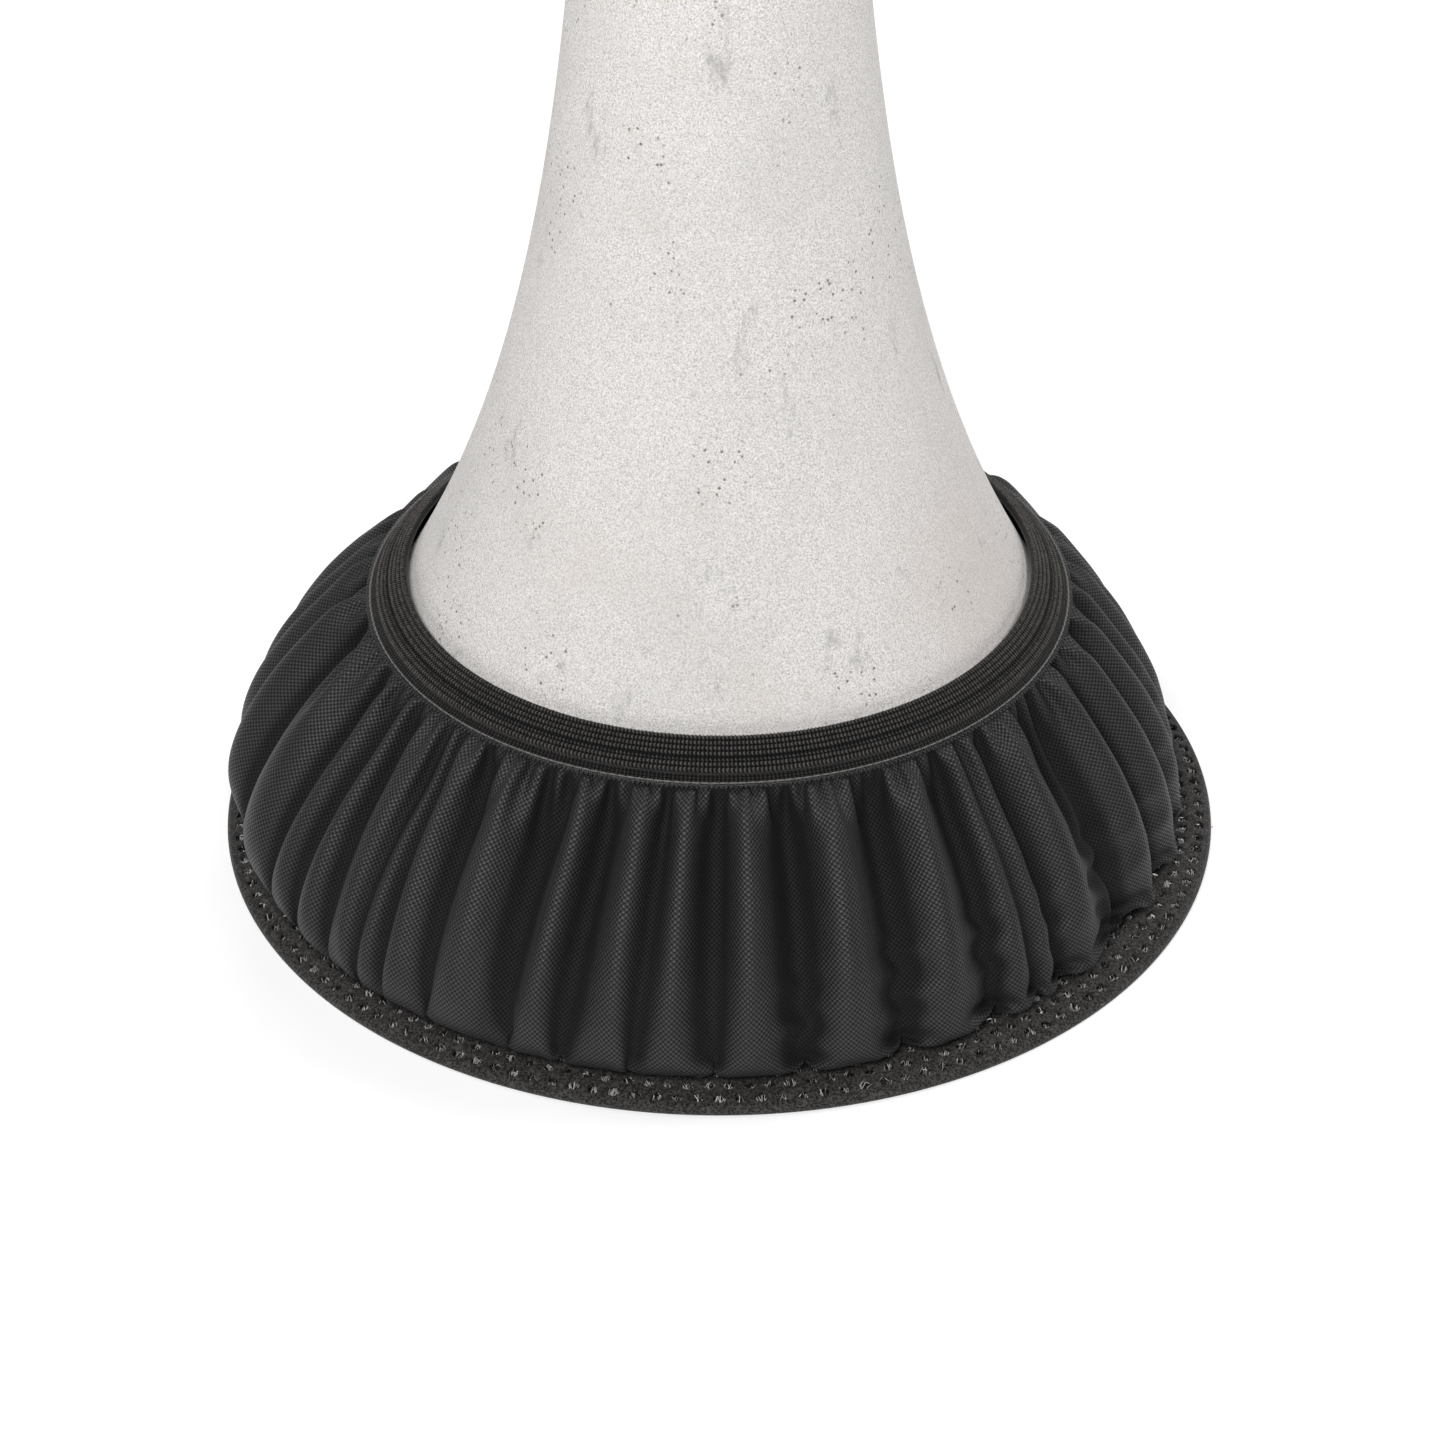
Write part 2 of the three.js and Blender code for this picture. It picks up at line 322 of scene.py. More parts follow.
def thread_pull(x, du, dv):
    """The forces of all threads and diagonals of the cloth at their wanted lengths."""
    pull = np.zeros_like(x)
    force = spring(np.roll(x, -1, 1) - x, du, STRETCH * dv / du)
    pull += np.roll(force, 1, 1) - force
    force = spring(x[1:] - x[:-1], dv, STRETCH * du / dv)
    pull[1:] += force
    pull[:-1] -= force
    for side in (-1, 1):
        force = spring(np.roll(x[1:], side, 1) - x[:-1], math.hypot(du, dv), SHEAR)
        pull[:-1] -= force
        pull[1:] += np.roll(force, -side, 1)
    return pull


def settle_panel():
    """Gathers the cloth between the heading and the hem, and lets it hang until it is still.
    Its threads keep their length, and light springs hold it near the folds it starts with."""
    x, top_angles, hem_angles = panel_start()
    pressed = x.copy()
    du, dv = PANEL_WIDTH / COLUMNS, PANEL_LENGTH / (ROWS - 1)
    aim_top = [PANEL_TOP[k] - dv * TOP_DIRECTION[k] for k in (0, 1)]
    aim_hem = [PANEL_HEM[k] - dv * HEM_DIRECTION[k] for k in (0, 1)]
    beyond_top = polar(aim_top[0], top_angles, aim_top[1])
    beyond_hem = polar(aim_hem[0], hem_angles, aim_hem[1])
    fixed = np.stack([beyond_top, x[0], x[-1], beyond_hem])
    system = panel_system(du, dv)
    free = np.arange(2, ROWS)
    held = np.array([0, 1, ROWS, ROWS + 1])
    solve = np.linalg.inv(system[:, free][:, :, free])
    from_held = system[:, free][:, :, held] @ np.fft.rfft(fixed, axis=1).transpose(1, 0, 2)
    speed = np.zeros_like(x)
    for _ in range(SETTLE_STEPS):
        before = x.copy()
        coast = x + COAST * speed
        x = coast.copy()
        x[0], x[-1] = fixed[1], fixed[2]
        for _ in range(SOLVES_PER_STEP):
            load = thread_pull(x, du, dv) + INERTIA * coast + HOLD * pressed
            load[..., 2] -= WEIGHT * du * dv
            waves = solve @ (np.fft.rfft(load[1:-1], axis=1).transpose(1, 0, 2) - from_held)
            x[1:-1] = np.fft.irfft(waves.transpose(1, 0, 2), COLUMNS, axis=1)
            x[1:-1, :, 2] = np.maximum(x[1:-1, :, 2], RIM_THICKNESS + 1)
        speed = x - before
    return x


# ---------------------------------------------------------------- materials

# The scales of noises and cells count their repeats in a metre.


class Nodes:
    """A material's node tree, with short calls for adding nodes and links."""

    def __init__(self, name):
        self.material = bpy.data.materials.new(name)
        self.material.use_nodes = True
        self.tree = self.material.node_tree
        self.shader = self.tree.nodes["Principled BSDF"]

    def add(self, kind, inputs=(), **settings):
        """A new node, with its inputs set or linked."""
        node = self.tree.nodes.new("ShaderNode" + kind)
        for key, value in settings.items():
            setattr(node, key, value)
        for key, value in dict(inputs).items():
            self.put(node.inputs[key], value)
        return node

    def put(self, socket, value):
        """Sets a socket to a value, or links it to a node or to another node's socket."""
        if isinstance(value, bpy.types.Node):
            value = value.outputs[0]
        if isinstance(value, bpy.types.NodeSocket):
            self.tree.links.new(value, socket)
        else:
            socket.default_value = value

    def math(self, operation, a, b=0.0, c=0.5):
        return self.add("Math", {0: a, 1: b, 2: c}, operation=operation)

    def ramp(self, factor, stops):
        """A value between 0 and 1 turned into colours or greys at the stops given."""
        node = self.add("ValToRGB", {"Fac": factor})
        while len(node.color_ramp.elements) < len(stops):
            node.color_ramp.elements.new(0.5)
        for element, (place, colour) in zip(node.color_ramp.elements, stops):
            element.position = place
            grey = isinstance(colour, (int, float))
            element.color = (colour,) * 3 + (1,) if grey else (*colour, 1)
        return node

    def mix(self, factor, a, b):
        """A blend of two colours, from a at factor 0 to b at factor 1."""
        node = self.add("Mix", data_type="RGBA")
        self.put(node.inputs["Factor"], factor)
        for socket, value in zip([s for s in node.inputs if s.type == "RGBA"], (a, b)):
            value = (*value, 1) if isinstance(value, tuple) else value
            self.put(socket, value)
        return next(s for s in node.outputs if s.type == "RGBA")

    def surface(self, colour, roughness, height=None, depth=0.0, strength=1.0, **constants):
        """Colour and roughness may be nodes; the constants are set on the shader itself."""
        colour = (*colour, 1) if isinstance(colour, tuple) else colour
        self.put(self.shader.inputs["Base Color"], colour)
        self.put(self.shader.inputs["Roughness"], roughness)
        if height is not None:
            bump = self.add("Bump", {"Height": height, "Distance": depth, "Strength": strength})
            self.put(self.shader.inputs["Normal"], bump)
        for key, value in constants.items():
            self.shader.inputs[key.replace("_", " ")].default_value = value
        return self.material


def nylon_material():
    """Charcoal oxford nylon: satin, with a plain weave that reads as diamonds. Its yarns are painted
    lighter as a painted highlight, and its gaps near black as painted shade. In the valleys between the
    folds, which the panel's painted_valley_shade attribute marks, painted shade darkens it and it is
    duller."""
    n = Nodes("oxford_nylon")
    uv = n.add("TexCoord").outputs["UV"]
    flat = n.add("SeparateXYZ", {"Vector": uv})
    turns = math.pi / YARN_PITCH / METRES
    warp = n.math("SINE", n.math("MULTIPLY", flat.outputs[0], turns))
    weft = n.math("SINE", n.math("MULTIPLY", flat.outputs[1], turns))
    weave = n.math("MULTIPLY_ADD", n.math("MULTIPLY", warp, weft), 0.5, 0.5)
    patches = n.add("TexNoise", {"Vector": uv, "Scale": 60.0, "Detail": 4.0, "Roughness": 0.6})
    yarns = n.add("TexNoise", {"Vector": uv, "Scale": 1500.0, "Detail": 2.0})
    tone = n.math("MULTIPLY_ADD", patches.outputs["Fac"], 0.35, 0.3)
    tone = n.math("ADD", tone, n.math("MULTIPLY", yarns.outputs["Fac"], 0.25))
    # Painted highlight and shade of the weave: the yarn floats are coloured lighter and the gaps between
    # them near black. The weave also drives the bump.
    low = n.mix(tone, (0.0004, 0.0004, 0.0004), (0.0008, 0.0008, 0.0008))
    high = n.mix(tone, (0.011, 0.011, 0.0113), (0.052, 0.052, 0.053))
    colour = n.mix(n.ramp(weave, [(0.35, 0.0), (0.8, 1.0)]), low, high)
    polish = n.math("MULTIPLY", weave, n.math("ADD", patches.outputs["Fac"], 0.5))
    rough = n.ramp(polish, [(0.1, 0.72), (0.7, 0.44)])
    # Painted shade: in the valleys between the folds the cloth is darkened towards near black, and made
    # rougher and duller.
    painted_valley_shade = n.add("Attribute", attribute_name="painted_valley_shade").outputs["Fac"]
    colour = n.mix(n.math("MULTIPLY", painted_valley_shade, 0.9), colour, (0.0006, 0.0006, 0.0006))
    rough = n.math("ADD", rough, n.math("MULTIPLY", painted_valley_shade, 0.3))
    creases = n.add("TexNoise", {"Vector": uv, "Scale": 140.0, "Detail": 5.0, "Roughness": 0.55})
    relief = n.math("MULTIPLY_ADD", creases.outputs["Fac"], 3.0, weave)
    return n.surface(
        colour, rough, relief, 0.00019, 0.8,
        Sheen_Weight=0.02, Sheen_Roughness=0.35, Specular_IOR_Level=0.4,
    )


def foam_material():
    """Off-white rigid foam: fine grain, whose lightest specks are a painted glint; clusters of pits
    darkened with painted shade; warm patches and grey scuffs.
    """
    n = Nodes("speckled_foam")
    place = n.add("TexCoord").outputs["Object"]
    grain = n.add("TexNoise", {"Vector": place, "Scale": 2300.0, "Detail": 2.0, "Roughness": 0.8})
    beads = n.add("TexVoronoi", {"Vector": place, "Scale": 1300.0})
    clouds = n.add("TexNoise", {"Vector": place, "Scale": 16.0, "Detail": 5.0, "Roughness": 0.65})
    # The grain is the foam's own speckled tone. Its lightest specks, near 0.9, are also a painted glint.
    grains = [(0.34, (0.42, 0.40, 0.385)), (0.5, (0.705, 0.680, 0.662)), (0.66, (0.90, 0.875, 0.855))]
    colour = n.ramp(grain.outputs["Fac"], grains)
    warm = n.ramp(clouds.outputs["Fac"], [(0.50, 0.0), (0.70, 1.0)])
    colour = n.mix(n.math("MULTIPLY", warm, 0.4), colour, (0.63, 0.57, 0.54))
    grey = n.ramp(clouds.outputs["Color"], [(0.50, 0.0), (0.72, 1.0)])
    colour = n.mix(n.math("MULTIPLY", grey, 0.3), colour, (0.52, 0.52, 0.50))
    away = n.add("VectorMath", {0: place, 1: STAIN_PLACE}, operation="DISTANCE").outputs["Value"]
    near = n.ramp(n.math("MULTIPLY", away, 20.0), [(0.15, 1.0), (0.9, 0.0)])
    stain = n.math("MULTIPLY", near, clouds.outputs["Fac"])
    colour = n.mix(stain, colour, (0.58, 0.50, 0.47))
    pit_cell = n.add("TexVoronoi", {"Vector": place, "Scale": 430.0})
    pit_patch = n.add("TexNoise", {"Vector": place, "Scale": 30.0, "Detail": 2.0})
    few = n.ramp(pit_patch.outputs["Fac"], [(0.53, 0.0), (0.61, 1.0)])
    pits = n.math("MULTIPLY", n.ramp(pit_cell.outputs["Distance"], [(0.10, 1.0), (0.20, 0.0)]), few)
    # Painted shade: the pits are coloured near black for the shade that falls in them. The same pits are
    # sunk in the bump.
    colour = n.mix(n.math("MULTIPLY", pits, 0.85), colour, (0.16, 0.12, 0.10))
    streak = n.add("Mapping", {"Vector": place, "Scale": (95.0, 95.0, 34.0)})
    scuff = n.add("TexNoise", {"Vector": streak, "Scale": 1.0, "Detail": 6.0, "Roughness": 0.7})
    worn = n.ramp(scuff.outputs["Fac"], [(0.61, 0.0), (0.72, 1.0)])
    colour = n.mix(n.math("MULTIPLY", worn, 0.6), colour, (0.30, 0.30, 0.29))
    pitted = n.math("SUBTRACT", grain, n.math("MULTIPLY", pits, 1.5))
    relief = n.math("MULTIPLY_ADD", beads.outputs["Distance"], -0.6, pitted)
    return n.surface(colour, 0.62, relief, 0.0003, 0.7, Specular_IOR_Level=0.35)


def knit_material(name="knit_elastic", bright=1.0):
    """Black textured yarn. Its colour follows the knit's relief: near black in the grooves, which is
    painted shade, and brownish-grey on the crests of the stitches, which is partly the yarn's bloom and
    partly a painted highlight.
    """
    n = Nodes(name)
    place = n.add("TexCoord").outputs["Object"]
    fibre = n.add("TexNoise", {"Vector": place, "Scale": 2600.0, "Detail": 3.0, "Roughness": 0.7})
    bloom = n.add("TexNoise", {"Vector": place, "Scale": 900.0, "Detail": 1.0})
    # Painted shade in the grooves and painted highlight on the crests, taken from the relief height.
    painted_relief_light_and_shade = n.add("Attribute", attribute_name="relief").outputs["Fac"]
    tone = n.math("MULTIPLY", painted_relief_light_and_shade, n.math("ADD", fibre.outputs["Fac"], bloom.outputs["Fac"]))
    crest_bloom_and_highlight = (0.09 * bright, 0.08 * bright, 0.072 * bright)
    colour = n.ramp(tone, [(0.15, 0.001), (0.5, 0.013 * bright), (0.9, crest_bloom_and_highlight)])
    return n.surface(
        colour, 0.8, fibre.outputs["Fac"], 0.0001, 0.6,
        Sheen_Weight=0.15, Sheen_Roughness=0.5, Specular_IOR_Level=0.15,
    )


def mesh_material():
    """Black polyester net, knitted from yarns that show as fine ribs."""
    n = Nodes("spacer_mesh")
    uv = n.add("TexCoord").outputs["UV"]
    ribs = n.add("TexVoronoi", {"Vector": uv, "Scale": 1500.0})
    fibre = n.add("TexNoise", {"Vector": uv, "Scale": 3000.0, "Detail": 2.0})
    tone = n.math("MULTIPLY", ribs.outputs["Distance"], fibre.outputs["Fac"])
    colour = n.ramp(tone, [(0.1, (0.002, 0.002, 0.002)), (0.45, (0.072, 0.067, 0.064))])
    return n.surface(
        colour, 0.75, ribs.outputs["Distance"], 0.00025, 0.8,
        Sheen_Weight=0.1, Sheen_Roughness=0.5, Specular_IOR_Level=0.2,
    )


def filament_material():
    """Dark nylon filaments mixed with clear ones. The clear ones are painted near white: a painted glint
    for the light that clear nylon catches.
    """
    n = Nodes("nylon_filament")
    place = n.add("TexCoord").outputs["Object"]
    tint = n.add("TexNoise", {"Vector": place, "Scale": 300.0})
    # Painted glint: the clear filaments are coloured near white.
    colour = n.ramp(tint.outputs["Fac"], [(0.4, (0.04, 0.04, 0.04)), (0.56, (0.95, 0.93, 0.90))])
    return n.surface(colour, 0.25, Specular_IOR_Level=0.7)


def thread_material(name, colour):
    """Two-ply thread: the plies show as slanted ribs along it."""
    n = Nodes(name)
    uv = n.add("SeparateXYZ", {"Vector": n.add("TexCoord").outputs["UV"]})
    turned_along = n.math("MULTIPLY", uv.outputs[0], 9000.0)
    ply = n.math("SINE", n.math("ADD", turned_along, n.math("MULTIPLY", uv.outputs[1], 3300.0)))
    shade = n.math("MULTIPLY_ADD", ply, 0.25, 0.75)
    tone = n.mix(shade, tuple(0.5 * c for c in colour), colour)
    return n.surface(tone, 0.55, ply, 0.00006, 0.6, Sheen_Weight=0.2)


# ---------------------------------------------------------------- pieces


def dress(piece, body, material, slot, *nodes):
    """Gives a piece its material and its body, and hides the CAD nodes that it stands for."""
    piece.data.materials.append(material)
    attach(piece, body)
    if nodes:
        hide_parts(*nodes)
    return piece


def flare_radius(z):
    """Radius of the tube's flare, which narrows towards the neck as it rises."""
    return NECK_RADIUS + FLARE_GAIN * np.exp(-z / FLARE_LENGTH)


def tube_line():
    """Radius and height up the tube's outside, from the foot to the mouth."""
    low = np.array([flare_radius(FLARE_LOW_Z), FLARE_LOW_Z])
    slope = (low[0] - NECK_RADIUS) / FLARE_LENGTH
    corner = np.array([FOOT_RADIUS, FLARE_LOW_Z - (FOOT_RADIUS - low[0]) / slope])
    t = np.linspace(0, 1, 24)[:, None]
    foot = np.array([FOOT_RADIUS, FOOT_STRAIGHT])
    bend = (1 - t) ** 2 * foot + 2 * t * (1 - t) * corner + t**2 * low
    z = np.linspace(FLARE_LOW_Z, TUBE_HEIGHT, 90)[1:]
    flare = np.stack([flare_radius(z), z], 1)
    return np.concatenate([[[FOOT_RADIUS, 0]], bend, flare])


def outward(line):
    """Unit normals to the right of a line of (radius, height) points."""
    along = np.gradient(line, axis=0)
    return np.stack([along[:, 1], -along[:, 0]], 1) / np.linalg.norm(along, axis=1)[:, None]


def make_tube():
    """The hollow tube, with its edges rounded at the foot and the mouth."""
    outer = tube_line()
    inner = outer - TUBE_WALL * outward(outer)
    inner[0, 1], inner[-1, 1] = 0, TUBE_HEIGHT
    corner = np.linspace(0, math.pi / 2, 6)[:, None]
    foot = np.array([FOOT_RADIUS - EDGE_ROUND, EDGE_ROUND])
    foot = foot + EDGE_ROUND * np.concatenate([np.sin(corner), -np.cos(corner)], 1)
    mouth = np.array([outer[-1, 0] - EDGE_ROUND, TUBE_HEIGHT - EDGE_ROUND])
    mouth = mouth + EDGE_ROUND * np.concatenate([np.cos(corner), np.sin(corner)], 1)
    line = np.concatenate([foot, outer[1:-1], mouth, inner[::-1], foot[:1]])
    length = np.linalg.norm(np.diff(line, axis=0), axis=1).sum()
    points = polar(line[:, :1], turn(240), line[:, 1:])
    tube = make_grid("foam_tube", points, 2 * math.pi * FOOT_RADIUS, length)
    return dress(tube, "tube", foam_material(), "foam", "flared_tube")


def strip_section(low, top, thickness, samples):
    """The outside of a flat strip's section: points, normals, and millimetres up the strip.
    It starts on the inside, passes round the lower edge, up the outside and over the top edge."""
    low, top = np.array(low, float), np.array(top, float)
    width = np.linalg.norm(top - low)
    along = (top - low) / width
    out = np.array([along[1], -along[0]])
    half = thickness / 2
    bend = np.linspace(-math.pi / 2, math.pi / 2, 7)[1:-1]
    edge = np.stack([np.cos(bend), np.sin(bend)], 1)
    start = low + along * half
    end = top - along * half
    face = np.linspace(0, 1, samples)[:, None]
    lower = -edge[:, :1] * along + edge[:, 1:] * out
    upper = edge[:, :1] * along - edge[:, 1:] * out
    normals = np.concatenate([[-out], lower, np.repeat(out[None], samples, 0), upper, [-out]])
    centres = np.concatenate([
        [start + 3 * half * along], np.repeat(start[None], len(edge), 0), start + face * (end - start),
        np.repeat(end[None], len(edge), 0), [end - 3 * half * along],
    ])
    points = centres + half * normals
    return points, normals, (points - low) @ along


def knit_relief(around, across, pitch, course):
    """Height from 0 to 1 of rows of V-shaped stitches."""
    row = across / course
    side = np.abs(row - np.floor(row) - 0.5) * 2
    strand = 0.5 + 0.5 * np.cos(2 * math.pi * (around / pitch + 0.38 * side))
    return (0.12 + 0.88 * strand) * (1 - side**3)


def knit_strip(name, low, top, thickness, stitches, courses, depth, groove=None, span=None):
    """A strip of V-knit round the skirt, or only round an arc of it at the back. The groove is a
    sunken course, at this share of the way up the strip."""
    samples = courses * KNIT_ROWS + 1
    points, normals, across = strip_section(low, top, thickness, samples)
    width = math.dist(low, top)
    columns = stitches * KNIT_COLUMNS
    closed = span is None
    angles = turn(columns) if closed else np.linspace(-span / 2, span / 2, columns)
    radius = (low[0] + top[0]) / 2
    around = angles * stitches / (angles[-1] - angles[0] + (angles[1] - angles[0]) * closed)
    wobble = 0.12 * np.sin(3 * angles + 1) + 0.08 * np.sin(11 * angles)
    height = depth * knit_relief(around + wobble, across[:, None] + wobble * 0.4, 1.0, width / courses)
    if groove is not None:
        height -= 0.35 * np.exp(-(((across[:, None] - groove * width) / 0.35) ** 2))
    fibres = rng.normal(0, FIBRE_HEIGHT, height.shape)
    push = height + fibres
    out = np.array([top[1] - low[1], low[0] - top[0]]) / width
    push *= np.clip(0.3 + normals @ out, 0, 1)[:, None]
    placed = polar(points[:, :1] + normals[:, :1] * push, angles, points[:, 1:] + normals[:, 1:] * push)
    turned = radius * (angles[-1] - angles[0])
    strip = make_grid(name, placed, turned, width + 2 * thickness, closed)
    # The relief attribute runs from 0 in the grooves to 1 on the crests. The knit's material uses it to
    # paint shade into the grooves and highlight onto the crests.
    relief = strip.data.attributes.new("relief", "FLOAT", "POINT")
    relief.data.foreach_set("value", (height / depth).astype(np.float32).ravel())
    return strip


def thread_loop(name, centre, radius, sides=6, closed=True):
    """A tube of thread along a line of points, with a radius for each point."""
    along = np.roll(centre, -1, 0) - np.roll(centre, 1, 0)
    if not closed:
        along[0], along[-1] = centre[1] - centre[0], centre[-1] - centre[-2]
    along /= np.linalg.norm(along, axis=1)[:, None]
    across = np.cross(along, [0, 0, 1])
    across /= np.linalg.norm(across, axis=1)[:, None]
    up = np.cross(across, along)
    angle = turn(sides)[:, None, None]
    radius = np.broadcast_to(radius, len(centre))[:, None]
    tube = centre + radius * (np.cos(angle) * across + np.sin(angle) * up)
    tube = np.concatenate([tube, tube[:1]])
    length = np.linalg.norm(np.diff(centre, axis=0), axis=1).sum()
    return make_grid(name, tube, length, 2 * math.pi * float(np.mean(radius)), closed)


def stitched_ring(name, radius, z, stitches, thread, dip, zigzag=0.0):
    """A row of stitches in a circle: the thread rises from each needle hole and dips into the next."""
    angles = turn(stitches * STITCH_POINTS)
    phase = angles * stitches
    rise = dip * (np.abs(np.sin(phase / 2)) ** 0.5 - 1)
    swing = zigzag * np.cos(phase)
    z_line = z + rise * 0.6 + swing * 0.6
    r_line = radius + rise * 0.8 - swing * 0.8
    thickness = thread * (0.55 + 0.45 * np.abs(np.sin(phase / 2)) ** 0.6)
    return thread_loop(name, polar(r_line, angles, z_line), thickness)


def hexagon(samples_per_side):
    """Points round a staggered cell's border, in cell widths and row heights."""
    corners = np.array([(0, 2), (-1.5, 1), (-1.5, -1), (0, -2), (1.5, -1), (1.5, 1)]) / 3
    step = np.arange(samples_per_side) / samples_per_side
    sides = [a + step[:, None] * (b - a) for a, b in zip(corners, np.roll(corners, -1, 0))]
    return np.concatenate(sides)


def thin_edge(points):
    """Thins the rim towards its outer edge, where the mesh is cut and pressed flat."""
    radius = np.hypot(points[..., 0], points[..., 1])
    past = np.clip((radius - MESH_THIN_FROM) / (RIM_RADIUS - MESH_THIN_FROM), 0, 1)
    points[..., 2] *= 1 - MESH_THINNED * past**2
    return points


def net_row(row, border, rings):
    """The points of one row of holes: for each hole, the rings from the cell's border inwards."""
    direction = np.arctan2(border[:, 0], border[:, 1])
    radius = MESH_OUTER_ROW - row * MESH_ROW_PITCH
    middle = (np.arange(MESH_COUNT) + 0.5 * (row % 2))[:, None] * 2 * math.pi / MESH_COUNT
    size = rng.uniform(1 - HOLE_UNEVEN, 1 + HOLE_UNEVEN, (MESH_COUNT, 1))
    drift = rng.normal(0, HOLE_DRIFT, (MESH_COUNT, 2, 1))
    cell_r = np.clip(radius + border[:, 1] * MESH_ROW_PITCH, MESH_INNER_EDGE, MESH_NET_EDGE)
    cell_a = middle + border[:, 0] * 2 * math.pi / MESH_COUNT
    stack = []
    for share, hole, z in rings:
        hole_r = radius + drift[:, 0] + hole * 0.92 * size * np.cos(direction)
        hole_a = middle + (drift[:, 1] + hole * size * np.sin(direction)) / radius
        stack.append(polar(cell_r + share * (hole_r - cell_r), cell_a + share * (hole_a - cell_a), z))
    return np.stack(stack, 1)


def make_net(name, rings):
    """A staggered net of holes. Each ring is (share of the way to the hole, hole radius, height)."""
    border = hexagon(2)
    corners = len(border)
    rows = [net_row(row, border, rings) for row in range(MESH_ROWS)]
    points = thin_edge(np.concatenate(rows).reshape(-1, 3))
    cell = np.arange(MESH_ROWS * MESH_COUNT)[:, None, None] * len(rings) * corners
    ring = cell + np.arange(len(rings) - 1)[:, None] * corners
    side = np.arange(corners)
    after = (side + 1) % corners
    faces = np.stack([ring + side, ring + after, ring + corners + after, ring + corners + side], -1)
    faces = faces.reshape(-1, 4)
    x, y = points[faces.ravel(), :2].T
    uv = np.stack([np.arctan2(x, y) * MESH_OUTER_ROW, np.hypot(x, y)], 1) * METRES
    net = make_mesh(name, points, faces, uv)
    weld(net)
    return net


def weld(piece):
    """Joins the points that neighbouring cells share."""
    work = bmesh.new()
    work.from_mesh(piece.data)
    bmesh.ops.remove_doubles(work, verts=work.verts, dist=0.00002)
    work.to_mesh(piece.data)
    work.free()


def make_filaments():
    """The fine springy threads that hold the two faces of the mesh apart. Each has three corners
    round it, at its foot, its middle and its top."""
    count = MESH_COUNT * MESH_ROWS * FILAMENTS_PER_HOLE
    r = rng.uniform(MESH_INNER_EDGE + 0.1 * MESH_ROW_PITCH, MESH_OUTER_ROW + 1.6, count)
    a = rng.uniform(0, 2 * math.pi, count)
    low = polar(r, a, 0.5)
    lean = rng.normal(0, FILAMENT_LEAN, (count, 3)) * (1, 1, 0)
    high = low + lean + (0, 0, RIM_THICKNESS - 0.9)
    bow = (low + high) / 2 + rng.normal(0, FILAMENT_BOW, (count, 3)) * (1, 1, 0)
    spin = turn(3)
    around = FILAMENT_RADIUS * np.stack([np.cos(spin), np.sin(spin), 0 * spin], 1)
    points = thin_edge(np.stack([low, bow, high], 1)[:, :, None] + around)
    level = np.arange(count)[:, None, None] * 9 + np.arange(2)[:, None] * 3
    side = np.arange(3)
    after = (side + 1) % 3
    faces = np.stack([level + side, level + after, level + 3 + after, level + 3 + side], -1)
    return make_mesh("mesh_filaments", points, faces.reshape(-1, 4))


def ring_grid(name, section, columns=480):
    """A ring round the skirt, from the (radius, height) points of its section."""
    section = np.asarray(section, float)
    length = np.linalg.norm(np.diff(section, axis=0), axis=1).sum()
    points = thin_edge(polar(section[:, :1], turn(columns), section[:, 1:]))
    return make_grid(name, points, 2 * math.pi * section[:, 0].mean(), length)


def make_rim(net):
    """The spacer mesh: two faces full of holes, filaments between them, and the plain edges."""
    half = RIM_THICKNESS / 2
    arc = np.linspace(-math.pi / 2, math.pi / 2, 11)
    edge = [(MESH_NET_EDGE - 0.4, 0.25), (MESH_NET_EDGE, 0.05)]
    edge += [(RIM_RADIUS - half / 2 + half / 2 * math.cos(a), half + half * math.sin(a)) for a in arc]
    edge += [(MESH_NET_EDGE, 4.0), (MESH_NET_EDGE - 0.4, 3.9)]
    inner = [(MESH_INNER_EDGE + 0.4, 3.9), (MESH_INNER_EDGE - 0.5, 4.0), (RIM_INNER_RADIUS + 0.6, 3.9)]
    inner += [(RIM_INNER_RADIUS, 3.4), (RIM_INNER_RADIUS, 0.6), (RIM_INNER_RADIUS + 0.6, 0.1)]
    inner += [(MESH_INNER_EDGE + 0.4, 0.25)]
    dress(make_net("mesh_rim_top", MESH_TOP_RINGS), "skirt", net, "spacer_mesh", "mesh_rim")
    dress(make_net("mesh_rim_bottom", MESH_BOTTOM_RINGS), "skirt", net, "spacer_mesh")
    dress(ring_grid("mesh_rim_edge", edge, 960), "skirt", net, "spacer_mesh")
    dress(ring_grid("mesh_rim_inner_edge", inner), "skirt", net, "spacer_mesh")
    dress(make_filaments(), "skirt", filament_material(), "spacer_mesh")


def make_band(knit):
    """The elastic, with one sunken course below its middle."""
    band = knit_strip(
        "elastic_knit_band", BAND_LOW, BAND_TOP, BAND_THICKNESS,
        stitches=540, courses=7, depth=0.75, groove=0.38,
    )
    dress(band, "skirt", knit, "knit_elastic", "elastic_band")


def on_band(distance):
    """The radius and height this far up the elastic from its lower edge."""
    low, top = np.array(BAND_LOW), np.array(BAND_TOP)
    return low + (top - low) / np.linalg.norm(top - low) * distance


